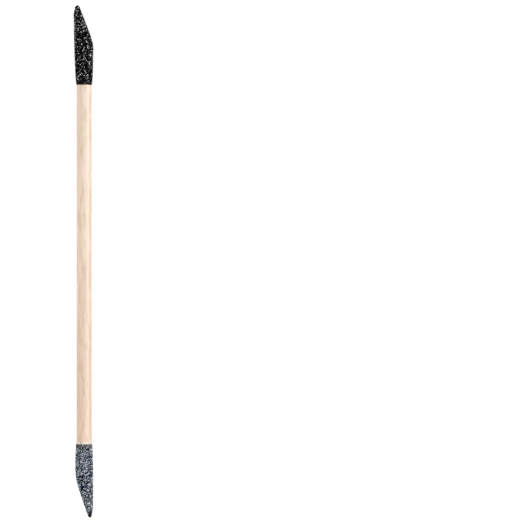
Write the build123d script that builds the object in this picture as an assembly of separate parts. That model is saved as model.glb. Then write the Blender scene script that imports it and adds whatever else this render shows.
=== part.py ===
"""A double-ended grit stick: a thin round wooden dowel whose two ends are cut on a slant.

Each slanted end is dipped in glue and rolled in grit: coarse black grains at one end and finer
grey grains at the other. The stick lies along X on the surface z = 0, black end towards +X. The
origin is on that surface, under the middle of the stick. The two slants face opposite ways, the
black one towards -Y and the grey one towards +Y.

Each end is first built in its own frame: X runs along the stick's axis from the coat's edge, at
x = 0, to the point, and Y runs towards the side that carries the point. Sizes are millimetres.
"""

import os
from dataclasses import dataclass
from math import cos, radians, sin, tan

from build123d import *

STICK_L = 115.0  # overall, from point to point
WOOD_D = 3.4  # the bare dowel


@dataclass(frozen=True)
class End:
    """The sizes of one coated end."""

    coat_l: float  # from the coat's edge to the point
    bevel_deg: float  # the slant's angle to the stick
    edge_t: float  # coat over the wood at the coat's edge, glue and grit together
    full_t: float  # coat over the round wood where it is thickest
    full_l: float  # from where the coat reaches that thickness to the point
    lean_deg: float  # how far the coat hangs over towards the point's side
    face_t: float  # coat over the slanted wood
    nose_t: float  # coat over the wood's blunt nose
    shoulder_r: float  # rounding where the slant starts
    point_r: float  # rounding of the point, seen from the side
    point_in: float  # how far the middle of that rounding lies inside the round wood's side
    tip_deg: float  # how far the point's own side turns in towards the point
    brow_r: float  # rounding where that side starts to turn in
    point_l: float  # length over which the point is rounded, seen from the front
    point_blunt: float  # how much of that length the blunt point leaves out
    corner_r: float  # rounding of the slant's outline
    glue_t: float  # the glue alone
    glue_margin: float  # glue that shows beyond the grit


BLACK = End(
    coat_l=17.65,
    bevel_deg=21.0,
    edge_t=0.1,
    full_t=0.46,
    full_l=4.65,
    lean_deg=0.5,
    face_t=0.32,
    nose_t=0.85,
    shoulder_r=15.0,
    point_r=0.46,
    point_in=0.18,
    tip_deg=14.0,
    brow_r=6.0,
    point_l=2.7,
    point_blunt=0.15,
    corner_r=0.3,
    glue_t=0.05,
    glue_margin=0.15,
)
GREY = End(
    coat_l=16.4,
    bevel_deg=18.8,
    edge_t=0.1,
    full_t=0.27,
    full_l=9.4,
    lean_deg=0.0,
    face_t=0.2,
    nose_t=1.6,
    shoulder_r=18.0,
    point_r=0.34,
    point_in=0.41,
    tip_deg=8.5,
    brow_r=10.0,
    point_l=2.4,
    point_blunt=0.15,
    corner_r=0.2,
    glue_t=0.05,
    glue_margin=0.5,
)

SPARE = 1.0  # how far a trimming shape reaches past what it trims
SKIM = 0.03  # how far a trimming outline stands off a round side that it runs along
TANGENT_DEG = 2.0  # two faces that meet at less than this need no rounding

WOOD_R = WOOD_D / 2
AXIS_Z = WOOD_R + max(BLACK.full_t, GREY.full_t)  # the fatter end rests on the surface


def reach(end):
    """The coated end's furthest point from the axis on the point's side."""
    return WOOD_R + end.full_t + end.coat_l * sin(radians(end.lean_deg))


def point_y(end):
    """From the stick's axis to the middle of the point's rounding."""
    return WOOD_R - end.point_in


def slant_start(end, inset):
    """Where the slant, moved into the end by inset, crosses the stick's axis."""
    slope = radians(end.bevel_deg)
    round_x = end.coat_l - end.point_r
    return round_x + (end.point_r - inset - point_y(end) * cos(slope)) / sin(slope)


def side_view(end, low, high, back, inset):
    """The end seen from the side, as a flat face from y = -low to y = high with a slanted end."""
    run = 1 / tan(radians(end.bevel_deg))
    cross = slant_start(end, inset)
    corners = [(-back, -low), (cross - low * run, -low), (cross + high * run, high), (-back, high)]
    face = Polygon(*corners, align=None)
    shoulder = face.vertices().sort_by_distance(corners[1])[0]
    return fillet(shoulder, end.shoulder_r - inset)


def turned_in(end, high):
    """What the side view keeps on the point's side, which turns in towards the point."""
    turn = radians(end.tip_deg)
    touch_x = end.coat_l - end.point_r * (1 - sin(turn))
    touch_y = point_y(end) + end.point_r * cos(turn)
    brow = (touch_x - (high - touch_y) / tan(turn), high)
    far = 2 * end.coat_l
    tip = (far, touch_y - (far - touch_x) * tan(turn))
    face = Polygon((0, -high), (far, -high), tip, brow, (0, high), align=None)
    return fillet(face.vertices().sort_by_distance(brow)[0], end.brow_r)


def front_view(end, half):
    """The end seen from the front, as a flat face with a rounded point."""
    straight_l = end.coat_l - end.point_l + end.point_blunt
    return Rectangle(straight_l, 2 * half, align=(Align.MIN, Align.CENTER)) + Pos(
        straight_l, 0
    ) * Ellipse(end.point_l, half)


def wood_end(end, grow, back):
    """The slanted wood of one end, grown all over by grow, from back before the coat's edge."""
    radius = WOOD_R + grow
    length = back + end.coat_l - end.nose_t + grow
    rod = Cylinder(radius, length, rotation=(0, 90, 0), align=(Align.CENTER, Align.CENTER, Align.MIN))
    view = side_view(end, radius + SKIM, radius + SPARE, back, end.face_t - grow)
    return Pos(-back, 0, 0) * rod & extrude(view, amount=radius + SPARE, both=True)


def swollen_body(end):
    """The round body of a coat, which swells from its edge and leans towards the point's side."""
    full_r = WOOD_R + end.full_t
    growth = end.full_t - end.edge_t
    swell_l = end.coat_l - end.full_l
    stations = (-end.edge_t, swell_l / 2, swell_l)
    swell = ThreePointArc(*((x, full_r - growth * (1 - x / swell_l) ** 2) for x in stations))
    far = end.coat_l + SPARE
    rest = Polyline(swell @ 1, (far, full_r), (far, 0), (-end.edge_t, 0), swell @ 0)
    return Rot(0, 0, end.lean_deg) * revolve(make_face(swell + rest), Axis.X)


def sharp_edges(solid):
    """The edges where two faces meet at an angle, but for the coat's own edge, which stays sharp."""
    found = []
    for edge in solid.edges():
        middle = edge @ 0.5
        one, *others = [f for f in solid.faces() if any(edge.is_same(e) for e in f.edges())]
        angles = [one.normal_at(middle).get_angle(f.normal_at(middle)) for f in others]
        if middle.X > SKIM and any(angle > TANGENT_DEG for angle in angles):
            found.append(edge)
    return found


def coated_end(end):
    """The outside of one coated end: its round body trimmed to both views, with soft edges."""
    half = WOOD_R + end.full_t + SKIM
    high = reach(end) + SKIM
    view = side_view(end, half, high, 0, 0) & turned_in(end, high)
    view = fillet(view.vertices().sort_by(Axis.X)[-1], end.point_r)
    side = extrude(view, amount=half + SPARE, both=True)
    front = extrude(Plane.XZ * front_view(end, half), amount=high + SPARE, both=True)
    trimmed = (swollen_body(end) & side & front).solid()
    return trimmed.fillet(end.corner_r, sharp_edges(trimmed))


def build():
    """Every piece of the stick, by name."""
    middle = STICK_L / 2
    places = {
        "black": (BLACK, Pos(middle - BLACK.coat_l, 0, AXIS_Z)),
        "grey": (GREY, Pos(GREY.coat_l - middle, 0, AXIS_Z) * Rot(0, 0, 180)),
    }
    wood = None
    pieces = {}
    for name, (end, place) in places.items():
        slanted = place * wood_end(end, 0, STICK_L)
        wood = slanted if wood is None else wood & slanted
        glued = wood_end(end, end.glue_t, end.glue_margin)
        pieces[f"{name}_glue"] = place * (glued - wood_end(end, 0, end.glue_margin + SPARE))
        pieces[f"{name}_grit"] = place * (coated_end(end) - glued)
    return {"wood_stick": wood, **pieces}


if __name__ == "__main__":
    os.makedirs("parts", exist_ok=True)
    for node, shape in build().items():
        export_step(shape.solid(), f"parts/{node}.step")
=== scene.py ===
"""The finish of a double-ended grit stick: bare birch between two slanted tips rolled in grit."""

import math
import random
from dataclasses import dataclass

import bmesh
import bpy
from mathutils import Matrix, Vector
from mathutils.bvhtree import BVHTree


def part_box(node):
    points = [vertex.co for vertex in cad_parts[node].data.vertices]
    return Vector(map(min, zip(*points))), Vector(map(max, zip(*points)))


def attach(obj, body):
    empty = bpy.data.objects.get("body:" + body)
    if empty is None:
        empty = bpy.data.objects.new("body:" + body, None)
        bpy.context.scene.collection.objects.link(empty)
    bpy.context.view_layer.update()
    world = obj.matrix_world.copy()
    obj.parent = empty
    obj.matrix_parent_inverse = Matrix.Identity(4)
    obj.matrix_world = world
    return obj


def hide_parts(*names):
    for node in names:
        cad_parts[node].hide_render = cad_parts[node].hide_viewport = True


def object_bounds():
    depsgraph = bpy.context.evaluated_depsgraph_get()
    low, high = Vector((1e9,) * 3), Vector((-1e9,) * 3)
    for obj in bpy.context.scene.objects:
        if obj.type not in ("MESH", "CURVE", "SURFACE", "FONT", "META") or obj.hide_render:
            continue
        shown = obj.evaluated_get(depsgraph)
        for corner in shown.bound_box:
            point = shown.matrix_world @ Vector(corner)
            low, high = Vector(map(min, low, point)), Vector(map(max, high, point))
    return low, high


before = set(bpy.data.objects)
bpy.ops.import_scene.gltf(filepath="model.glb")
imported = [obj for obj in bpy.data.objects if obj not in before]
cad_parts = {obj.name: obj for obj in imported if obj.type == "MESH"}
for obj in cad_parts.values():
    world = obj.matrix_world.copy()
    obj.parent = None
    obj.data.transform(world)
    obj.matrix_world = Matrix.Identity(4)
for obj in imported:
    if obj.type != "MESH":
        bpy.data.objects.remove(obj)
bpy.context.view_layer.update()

MM = 0.001
WHITE = (1.0, 1.0, 1.0)

# camera: square above the lying stick, which lies left of the middle of the view
VIEW_WIDTH = 117.38 * MM
VIEW_HEIGHT = 1.5
VIEW_CENTRE = (0.10 * MM, -39.77 * MM)
SENSOR = 36.0

FLOOR_R = 8.0

# figure of the finishes: waves to the metre along the stick and across it
STREAKS = (230, 3200, 3200)
HUES = (150, 1500, 1500)
BANDS = (28, 420, 420)
PORES = (520, 9000, 9000)
SOAK_AND_SHADE_PATCHES = (1100, 1100, 1100)
PAPER_FLECKS = (40, 40, 40)

# shapes of the grains, where a grain is about 1 across
GRAIN_SHAPES = 24  # in each coat
GRAIN_L = (1.0, 1.35)
GRAIN_W = (0.85, 1.1)
GRAIN_T = (0.7, 1.0)
BREAK_OUT = (0.33, 0.46)  # how far a flat break lies from the middle of its grain
ON_BREAK = 1e-6  # corners this near to a break's plane are on it
SHORT_EDGE = 0.02  # shorter edges of a grain are closed

# setting of the grains
MOST_MISSES = 400  # a coat is full when so many tries in a row are too near another grain
EDGE_TAPER = 0.6 * MM  # over this distance from a coat's edge the grains grow to full size
PATCH = 250  # grains set down in one go before they join the rest
DARK_SIZE = 1.15  # size of the darkest grains against the middle one
PALE_LOSS = 0.35  # how much smaller the palest are, which show as small specks; in the black grit these specks are painted glints
FACET_TONE = 0.13  # how far the tone of one break may be from its grain's
MOTTLE = 0.10  # how far the tone of a break may change over its face

# lone grey grains on the wood beyond the edge of their coat
STRAYS = 90
STRAY_REACH = 0.45 * MM
STRAY_SIZES = (0.5, 0.95)
STRAY_HEIGHTS = (0.0, 0.25)

# how far along the stick the glue stains the grains at the coats' edges, and how far the painted shade
# reaches from the grey point
BLACK_EDGE_SOAK = 2.2 * MM
GREY_EDGE_SOAK = 1.2 * MM
GREY_POINT_SHADE_REACH = 1.6 * MM

# reading of a coat's mesh, which is loose triangles
SAME_PLACE = 0.0001 * MM  # corners nearer than this are one corner
OFF_FACE = 0.01 * MM  # how far off its face a look outwards starts

# a noise is nearly all between these
NOISE_LOW = 0.3
NOISE_HIGH = 0.7

# the colour sockets of a Mix node, which share their names with its other sockets
MIX_FACTOR = 0
MIX_FIRST = 6
MIX_SECOND = 7
MIX_RESULT = 2


@dataclass(frozen=True)
class Grit:
    """The grains of one tip and how they are set."""

    grain: float  # size of a middle grain
    sizes: tuple  # smallest and largest grain, against the middle one
    breaks: int  # flat breaks across the corners of a grain
    spacing: float  # kept between the middles of two grains
    heights: tuple  # lowest and highest middle of a grain over the coat's outside, in its own size
    bare_edge: float  # width along the coat's edge where the resin shows
    resin_drop: float  # how far the resin lies below the coat's outside
    shapes_seed: int  # the seeds give the same grains in the same places each time
    spots_seed: int
    seats_seed: int
    tones_seed: int


BLACK = Grit(
    grain=0.225 * MM,
    sizes=(0.7, 1.25),
    breaks=5,
    spacing=0.158 * MM,
    heights=(-0.50, -0.27),
    bare_edge=0.08 * MM,
    resin_drop=0.09 * MM,
    shapes_seed=100,
    spots_seed=5,
    seats_seed=11,
    tones_seed=21,
)
GREY = Grit(
    grain=0.18 * MM,
    sizes=(0.65, 1.25),
    breaks=4,
    spacing=0.128 * MM,
    heights=(-0.48, -0.22),
    bare_edge=0.0,
    resin_drop=0.06 * MM,
    shapes_seed=300,
    spots_seed=6,
    seats_seed=12,
    tones_seed=22,
)

# from the tone of a break to its colour; only the palest breaks catch the eye
# black grit: its own colour is near black; the palest breaks, up to white, are painted glints in place
# of sparkle off the facets
BLACK_TONES_AND_GLINTS = [
    (0.00, (0.001, 0.001, 0.0015)),
    (0.45, (0.0012, 0.0012, 0.0016)),
    (0.65, (0.006, 0.006, 0.007)),
    (0.80, (0.035, 0.035, 0.037)),
    (0.90, (0.22, 0.22, 0.223)),
    (0.96, WHITE),
]
GREY_TONES = [
    (0.00, (0.002, 0.003, 0.005)),
    (0.35, (0.004, 0.006, 0.016)),
    (0.50, (0.040, 0.058, 0.105)),
    (0.64, (0.17, 0.225, 0.335)),
    (0.75, (0.60, 0.70, 0.86)),
    (0.87, WHITE),
]


# ---------------------------------------------------------------- material helpers


def neutral(level):
    """A grey with no tint."""
    return (level, level, level)


def finish(name):
    """A new material, a helper to add and join its nodes, and its shader."""
    material = bpy.data.materials.new(name)
    material.use_nodes = True
    tree = material.node_tree
    return material, Bench(tree), tree.nodes["Principled BSDF"]


class Bench:
    """Adds nodes to a tree and joins them."""

    def __init__(self, tree):
        self.tree = tree

    def node(self, kind, inputs=None, **settings):
        """A new node; each input is an output to join to it or a value."""
        made = self.tree.nodes.new(kind)
        for key, value in settings.items():
            setattr(made, key, value)
        for key, value in (inputs or {}).items():
            if isinstance(value, bpy.types.NodeSocket):
                self.join(value, made.inputs[key])
            else:
                made.inputs[key].default_value = value
        return made

    def join(self, output, socket):
        self.tree.links.new(output, socket)

    def noise(self, waves, offset=(0, 0, 0), detail=3.0, roughness=0.5):
        """Noise with so many waves to the metre on each axis; the offset keeps two noises apart."""
        coords = self.node("ShaderNodeTexCoord")
        mapping = self.node(
            "ShaderNodeMapping",
            {"Vector": coords.outputs["Object"], "Location": offset, "Scale": waves},
        )
        made = self.node(
            "ShaderNodeTexNoise",
            {
                "Vector": mapping.outputs["Vector"],
                "Scale": 1.0,
                "Detail": detail,
                "Roughness": roughness,
            },
        )
        return made.outputs["Fac"]

    def along(self):
        """The place along the stick."""
        coords = self.node("ShaderNodeTexCoord")
        parts = self.node("ShaderNodeSeparateXYZ", {"Vector": coords.outputs["Object"]})
        return parts.outputs["X"]

    def ramp(self, factor, stops):
        """A colour ramp from (place, colour) stops."""
        made = self.node("ShaderNodeValToRGB", {"Fac": factor})
        band = made.color_ramp
        while len(band.elements) < len(stops):
            band.elements.new(0.5)
        for element, (place, colour) in zip(band.elements, stops):
            element.position = place
            element.color = (*colour, 1.0)
        return made.outputs["Color"]

    def remap(self, value, low, high, to_low, to_high):
        made = self.node(
            "ShaderNodeMapRange",
            {
                "Value": value,
                "From Min": low,
                "From Max": high,
                "To Min": to_low,
                "To Max": to_high,
            },
        )
        return made.outputs["Result"]

    def spread(self, noise, low, high):
        """A noise stretched to run from low to high."""
        return self.remap(noise, NOISE_LOW, NOISE_HIGH, low, high)

    def mix(self, factor, first, second, blend="MIX"):
        inputs = {MIX_FACTOR: factor, MIX_FIRST: first, MIX_SECOND: second}
        made = self.node("ShaderNodeMix", inputs, data_type="RGBA", blend_type=blend)
        return made.outputs[MIX_RESULT]

    def maths(self, operation, first, second):
        made = self.node("ShaderNodeMath", {0: first, 1: second}, operation=operation)
        return made.outputs["Value"]

    def bump(self, height, distance, strength):
        made = self.node(
            "ShaderNodeBump",
            {"Height": height, "Distance": distance, "Strength": strength},
        )
        return made.outputs["Normal"]


# ---------------------------------------------------------------- finishes


def birch_finish(black_edge, grey_edge):
    """Pale turned birch: long thin streaks of pinkish and yellowish wood, short pores, a dull polish.

    black_edge and grey_edge are the places of the two coats' edges along the stick.
    """
    material, bench, shader = finish("birch")
    streaks = bench.noise(STREAKS, detail=4, roughness=0.6)
    hues = bench.noise(HUES, offset=(3.1, 0.7, 5.3))
    bands = bench.noise(BANDS, offset=(1.7, 2.2, 0.4), detail=2)
    pores = bench.noise(PORES, offset=(0.3, 4.1, 2.6), detail=2)

    yellowish = (0.885, 0.748, 0.565)
    pale = (0.90, 0.745, 0.615)
    pinkish = (0.92, 0.712, 0.615)
    colour = bench.ramp(hues, [(0.36, yellowish), (0.50, pale), (0.64, pinkish)])

    dark_streak = (0.73, 0.67, 0.60)
    soft_streak = (0.93, 0.915, 0.90)
    light = bench.ramp(streaks, [(0.30, dark_streak), (0.50, soft_streak), (0.68, WHITE)])
    broad = bench.ramp(bands, [(0.32, (0.93, 0.91, 0.90)), (0.66, WHITE)])
    pore = bench.ramp(pores, [(0.62, WHITE), (0.74, (0.80, 0.74, 0.68))])

    # painted shade: the wood is painted a little darker and warmer towards the grey tip, as if less
    # light fell on that end
    share = bench.remap(bench.along(), low=grey_edge, high=black_edge, to_low=0.0, to_high=1.0)
    painted_shade_towards_grey = bench.ramp(share, [(0.0, (0.91, 0.85, 0.79)), (0.5, (0.985, 0.965, 0.95)), (1.0, WHITE)])

    for figure_and_shade in (light, broad, pore, painted_shade_towards_grey):
        colour = bench.mix(1.0, colour, figure_and_shade, "MULTIPLY")
    bench.join(colour, shader.inputs["Base Color"])

    bench.join(bench.spread(streaks, low=0.42, high=0.56), shader.inputs["Roughness"])
    shader.inputs["Specular IOR Level"].default_value = 1.0
    pore_depth = bench.remap(pores, low=0.60, high=0.78, to_low=0.0, to_high=0.6)
    relief = bench.maths("SUBTRACT", streaks, pore_depth)
    bench.join(bench.bump(relief, distance=0.02 * MM, strength=0.6), shader.inputs["Normal"])
    return material


def resin_finish(name, dark, pale, roughness, waves):
    """Cured resin with dust in it; roughness is that of its shiniest places."""
    material, bench, shader = finish(name)
    cloud = bench.noise((waves, waves, waves), detail=4, roughness=0.65)
    bench.join(bench.ramp(cloud, [(0.35, dark), (0.65, pale)]), shader.inputs["Base Color"])
    dullest = roughness + 0.25
    bench.join(bench.spread(cloud, roughness, dullest), shader.inputs["Roughness"])
    bench.join(bench.bump(cloud, distance=0.05 * MM, strength=0.8), shader.inputs["Normal"])
    return material


def grain_finish(name, tones, roughness, waves, shine, soaks_and_shade):
    """Broken mineral grains, with the tone of every break kept on its face.

    roughness is that of their shiniest places. soaks_and_shade are the places where a colour is mixed
    into the grains along the stick, each with its x where most is, its x where it has faded, its
    strength and its colour: stains from the coat's adhesive at a coat's edge, and painted shade at the
    grey point.
    """
    material, bench, shader = finish(name)
    tone = bench.node("ShaderNodeAttribute", attribute_name="tone").outputs["Fac"]
    cloud = bench.noise((waves, waves, waves), roughness=0.6)
    mottle = bench.spread(cloud, -MOTTLE, MOTTLE)
    colour = bench.ramp(bench.maths("ADD", tone, mottle), tones)

    along = bench.along()
    patches = bench.noise(SOAK_AND_SHADE_PATCHES, offset=(2.3, 0.9, 4.4), detail=1)
    patchy = bench.remap(patches, low=0.42, high=0.58, to_low=0.35, to_high=1.0)
    # glue stains at the coats' edges and painted shade at the grey point are mixed in here
    for most_x, faded_x, strength, soak_and_shade_colour in soaks_and_shade:
        fading = bench.remap(along, low=most_x, high=faded_x, to_low=strength, to_high=0.0)
        soak_and_shade_amount = bench.maths("MULTIPLY", fading, patchy)
        colour = bench.mix(soak_and_shade_amount, colour, (*soak_and_shade_colour, 1.0))
    bench.join(colour, shader.inputs["Base Color"])

    dullest = roughness + 0.22
    bench.join(bench.spread(cloud, roughness, dullest), shader.inputs["Roughness"])
    shader.inputs["Specular IOR Level"].default_value = shine
    bench.join(bench.bump(cloud, distance=0.012 * MM, strength=0.5), shader.inputs["Normal"])
    return material


def floor_finish():
    """Pale, evenly lit paper."""
    material, bench, shader = finish("pale_floor")
    fleck = bench.noise(PAPER_FLECKS, detail=2)
    paper = bench.ramp(fleck, [(0.3, neutral(0.29)), (0.7, neutral(0.31))])
    bench.join(paper, shader.inputs["Base Color"])
    shader.inputs["Roughness"].default_value = 0.9
    shader.inputs["Specular IOR Level"].default_value = 0.1
    shader.inputs["Emission Color"].default_value = (*WHITE, 1.0)
    shader.inputs["Emission Strength"].default_value = 0.84
    return material


def give(piece, material):
    """Gives a piece its one finish."""
    piece.data.materials.clear()
    piece.data.materials.append(material)


def place_piece(name, mesh, material):
    """Puts a finished mesh on the stick, with its finish."""
    piece = bpy.data.objects.new(name, mesh)
    bpy.context.scene.collection.objects.link(piece)
    give(piece, material)
    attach(piece, "root")
    return piece


# ---------------------------------------------------------------- grit


def any_way(rng):
    """A direction, each as likely as the others."""
    return Vector((rng.gauss(0, 1), rng.gauss(0, 1), rng.gauss(0, 1))).normalized()


def broken_grain(seed, breaks):
    """One crushed grain about 1 across: a block with flat breaks across its corners."""
    rng = random.Random(seed)
    grain = bmesh.new()
    bmesh.ops.create_cube(grain, size=1.0)
    size = Vector((rng.uniform(*GRAIN_L), rng.uniform(*GRAIN_W), rng.uniform(*GRAIN_T)))
    bmesh.ops.scale(grain, vec=size, verts=grain.verts[:])
    for _ in range(breaks):
        out = any_way(rng)
        cut = bmesh.ops.bisect_plane(
            grain,
            geom=grain.verts[:] + grain.edges[:] + grain.faces[:],
            dist=ON_BREAK,
            plane_co=out * rng.uniform(*BREAK_OUT),
            plane_no=out,
            clear_outer=True,
        )
        rim = [item for item in cut["geom_cut"] if isinstance(item, bmesh.types.BMEdge)]
        if rim:
            bmesh.ops.contextual_create(grain, geom=rim)
    bmesh.ops.remove_doubles(grain, verts=grain.verts[:], dist=SHORT_EDGE)
    bmesh.ops.recalc_face_normals(grain, faces=grain.faces[:])
    grain.faces.layers.float.new("tone")
    mesh = bpy.data.meshes.new("grain")
    grain.to_mesh(mesh)
    grain.free()
    return mesh


def coat_skin(node):
    """A copy of a coat's mesh with its corners joined, and the faces with nothing in front of them."""
    skin = bmesh.new()
    skin.from_mesh(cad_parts[node].data)
    bmesh.ops.remove_doubles(skin, verts=skin.verts[:], dist=SAME_PLACE)
    skin.normal_update()
    tree = BVHTree.FromBMesh(skin)
    outside = {
        face
        for face in skin.faces
        if tree.ray_cast(face.calc_center_median() + face.normal * OFF_FACE, face.normal)[0] is None
    }
    return skin, outside


def coat_spots(node, spacing, seed):
    """Places on the outside of a coat that keep the spacing: (point, direction out of the coat)."""
    rng = random.Random(seed)
    skin, outside = coat_skin(node)
    outer = []
    area_so_far = []
    total = 0.0
    for face in skin.faces:
        if face in outside:
            total += face.calc_area()
            outer.append(([vert.co.copy() for vert in face.verts], face.normal.copy()))
            area_so_far.append(total)
    skin.free()
    taken = {}  # the points by their cell of a grid, whose cells are as wide as the spacing
    spots = []
    misses = 0
    while misses < MOST_MISSES:
        (a, b, c), out = rng.choices(outer, cum_weights=area_so_far)[0]
        u, v = rng.random(), rng.random()
        if u + v > 1:
            u, v = 1 - u, 1 - v
        point = a + (b - a) * u + (c - a) * v
        cell = tuple(math.floor(x / spacing) for x in point)
        near = (
            other
            for dx in (-1, 0, 1)
            for dy in (-1, 0, 1)
            for dz in (-1, 0, 1)
            for other in taken.get((cell[0] + dx, cell[1] + dy, cell[2] + dz), ())
        )
        if any((other - point).length_squared < spacing * spacing for other in near):
            misses += 1
            continue
        misses = 0
        taken.setdefault(cell, []).append(point)
        spots.append((point, out))
    return spots


def seat(rng, point, out, size, heights):
    """Where one grain sits: turned any way, with its middle between two heights, in its own size."""
    turn = any_way(rng)
    return (
        Matrix.Translation(point + out * size * rng.uniform(*heights))
        @ Matrix.Rotation(rng.uniform(0, math.tau), 4, turn)
        @ Matrix.Diagonal((size, size, size, 1.0))
    )


def edge_size(size, from_edge):
    """Grains near the coat's edge are smaller, down to half, because the coat is thin there."""
    return size * (0.5 + 0.5 * min(1.0, from_edge / EDGE_TAPER))


def coat_seats(rng, node, grit, edge_x):
    """Where the grains of one coat sit; edge_x is the place of its edge along the stick."""
    seats = []
    for point, out in coat_spots(node, grit.spacing, grit.spots_seed):
        from_edge = abs(point.x - edge_x)
        if from_edge >= grit.bare_edge:
            size = edge_size(grit.grain * rng.uniform(*grit.sizes), from_edge)
            seats.append(seat(rng, point, out, size, grit.heights))
    return seats


def stray_seats(rng, grit, edge_x, axis_z, wood_r):
    """Where the lone grains lie on the wood, beyond the edge of their coat."""
    seats = []
    for _ in range(STRAYS):
        beyond = STRAY_REACH * rng.random() ** 2
        angle = rng.uniform(0, math.tau)
        out = Vector((0, math.cos(angle), math.sin(angle)))
        point = Vector((edge_x + beyond, 0, axis_z)) + out * wood_r
        size = grit.grain * rng.uniform(*STRAY_SIZES)
        seats.append(seat(rng, point, out, size, STRAY_HEIGHTS))
    return seats


def heap(name, seats, grit, material):
    """All the grains of one tip, as one piece, each with its own tone on its faces."""
    shapes = [broken_grain(grit.shapes_seed + n, grit.breaks) for n in range(GRAIN_SHAPES)]
    rng = random.Random(grit.tones_seed)
    whole = bmesh.new()
    for start in range(0, len(seats), PATCH):
        patch = bmesh.new()
        patch.faces.layers.float.new("tone")
        for placed in seats[start : start + PATCH]:
            first_vert = len(patch.verts)
            first_face = len(patch.faces)
            patch.from_mesh(rng.choice(shapes))
            patch.verts.ensure_lookup_table()
            patch.faces.ensure_lookup_table()
            shade = rng.random()
            sized = Matrix.Scale(DARK_SIZE - PALE_LOSS * shade, 4)
            bmesh.ops.transform(patch, matrix=placed @ sized, verts=patch.verts[first_vert:])
            tone = patch.faces.layers.float["tone"]
            for face in patch.faces[first_face:]:
                face[tone] = shade + rng.uniform(-FACET_TONE, FACET_TONE)
        mesh = bpy.data.meshes.new("patch")
        patch.to_mesh(mesh)
        patch.free()
        whole.from_mesh(mesh)
        bpy.data.meshes.remove(mesh)
    whole.normal_update()
    mesh = bpy.data.meshes.new(name)
    whole.to_mesh(mesh)
    whole.free()
    return place_piece(name, mesh, material)


def resin_bed(name, node, depth, material):
    """The coat's resin, whose outside lies lower than the coat's, so that grain tops reach its size."""
    bed, outside = coat_skin(node)
    sunk = [vert for vert in bed.verts if all(face in outside for face in vert.link_faces)]
    for vert, down in [(vert, vert.normal * depth) for vert in sunk]:
        vert.co -= down
    for face in bed.faces:
        face.smooth = True
    mesh = bpy.data.meshes.new(name)
    bed.to_mesh(mesh)
    bed.free()
    piece = place_piece(name, mesh, material)
    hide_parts(node)
    return piece


# ---------------------------------------------------------------- the stick

wood_low, wood_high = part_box("wood_stick")
black_low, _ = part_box("black_grit")
grey_low, grey_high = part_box("grey_grit")
axis_z = (wood_low.z + wood_high.z) / 2
wood_r = (wood_high.z - wood_low.z) / 2

give(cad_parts["wood_stick"], birch_finish(black_low.x, grey_high.x))

dark_glue = resin_finish(
    "dark_glue",
    dark=(0.012, 0.011, 0.011),
    pale=(0.03, 0.026, 0.025),
    roughness=0.35,
    waves=5000,
)
give(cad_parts["black_glue"], dark_glue)

pale_glue = resin_finish(
    "pale_glue",
    dark=(0.60, 0.53, 0.45),
    pale=(0.93, 0.88, 0.82),
    roughness=0.35,
    waves=3000,
)
give(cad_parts["grey_glue"], pale_glue)

black_resin = resin_finish(
    "black_resin",
    dark=(0.001, 0.001, 0.0015),
    pale=(0.004, 0.004, 0.005),
    roughness=0.6,
    waves=6000,
)
resin_bed("black_bed", "black_grit", BLACK.resin_drop, black_resin)

grey_resin = resin_finish(
    "grey_resin",
    dark=(0.005, 0.005, 0.008),
    pale=(0.02, 0.02, 0.028),
    roughness=0.6,
    waves=8000,
)
resin_bed("grey_bed", "grey_grit", GREY.resin_drop, grey_resin)

# the black grains' sparkle is painted into the colour of their palest breaks, so their shine is kept
# low
black_mineral_and_glints = grain_finish(
    "black_mineral_and_glints",
    BLACK_TONES_AND_GLINTS,
    roughness=0.15,
    waves=7000,
    shine=0.03,
    soaks_and_shade=[(black_low.x, black_low.x + BLACK_EDGE_SOAK, 1.0, (0.005, 0.0035, 0.004))],
)
rng = random.Random(BLACK.seats_seed)
black_seats = coat_seats(rng, "black_grit", BLACK, black_low.x)
heap("black_grains", black_seats, BLACK, black_mineral_and_glints)

grey_mineral = grain_finish(
    "grey_mineral",
    GREY_TONES,
    roughness=0.3,
    waves=9000,
    shine=0.10,
    soaks_and_shade=[
        (grey_high.x, grey_high.x - GREY_EDGE_SOAK, 0.9, (0.13, 0.085, 0.05)),
        # painted shade: the grains near the grey point are painted near black
        (grey_low.x, grey_low.x + GREY_POINT_SHADE_REACH, 1.6, (0.02, 0.02, 0.015)),
    ],
)
rng = random.Random(GREY.seats_seed)
grey_seats = coat_seats(rng, "grey_grit", GREY, grey_high.x)
grey_seats += stray_seats(rng, GREY, grey_high.x, axis_z, wood_r)
heap("grey_grains", grey_seats, GREY, grey_mineral)

# ---------------------------------------------------------------- the studio


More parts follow.
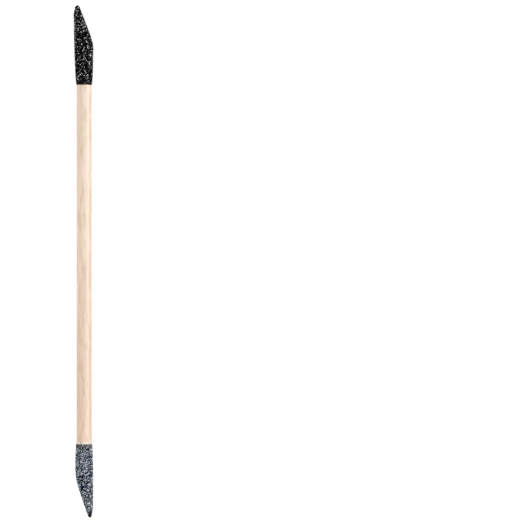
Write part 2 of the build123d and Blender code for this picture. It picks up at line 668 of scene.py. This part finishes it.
def softbox(name, position, width, height, light):
    """A soft lamp that points at the stick and gives a white card there the brightness light."""
    lamp = bpy.data.lights.new(name, "AREA")
    lamp.shape = "RECTANGLE"
    lamp.size = width
    lamp.size_y = height
    toward = -Vector(position)
    lamp.energy = light * math.pi**2 * toward.length_squared
    placed = bpy.data.objects.new(name, lamp)
    placed.location = position
    placed.rotation_euler = toward.to_track_quat("-Z", "Y").to_euler()
    bpy.context.scene.collection.objects.link(placed)
    return placed


low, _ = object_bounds()
sheet = bmesh.new()
under_stick = Matrix.Translation((0, 0, low.z))
bmesh.ops.create_circle(sheet, cap_ends=True, segments=64, radius=FLOOR_R, matrix=under_stick)
floor_mesh = bpy.data.meshes.new("floor")
sheet.to_mesh(floor_mesh)
sheet.free()
floor = bpy.data.objects.new("floor", floor_mesh)
bpy.context.scene.collection.objects.link(floor)
give(floor, floor_finish())
floor.visible_glossy = False  # the bright paper isn't mirrored in the grains

softbox("key", position=(0.22, -0.80, 0.52), width=0.40, height=0.34, light=0.74)
fill = softbox("fill", position=(-0.10, 0.72, 0.80), width=0.5, height=0.35, light=0.60)
fill.visible_glossy = False  # only the key makes a highlight

# light from all round, strongest near the horizon, which keeps the sides of the round wood pale
world = bpy.data.worlds.new("studio")
world.use_nodes = True
bench = Bench(world.node_tree)
sky = bench.node("ShaderNodeTexCoord")
up = bench.node("ShaderNodeSeparateXYZ", {"Vector": sky.outputs["Generated"]}).outputs["Z"]
upward = bench.remap(up, low=-1.0, high=1.0, to_low=0.0, to_high=1.0)
glow = [(0.44, neutral(0.10)), (0.485, WHITE), (0.51, WHITE), (0.62, neutral(0.30))]
back = world.node_tree.nodes["Background"]
bench.join(bench.ramp(upward, glow), back.inputs["Color"])
back.inputs["Strength"].default_value = 1.0
bpy.context.scene.world = world

camera_data = bpy.data.cameras.new("camera")
camera_data.sensor_width = SENSOR
camera_data.lens = SENSOR * VIEW_HEIGHT / VIEW_WIDTH
camera_data.clip_start = 0.1
camera_data.clip_end = 20.0
camera = bpy.data.objects.new("camera", camera_data)
camera.location = (*VIEW_CENTRE, axis_z + VIEW_HEIGHT)
camera.rotation_euler = (0, 0, -math.pi / 2)
bpy.context.scene.collection.objects.link(camera)
bpy.context.scene.camera = camera
bpy.context.scene.view_settings.view_transform = "Standard"
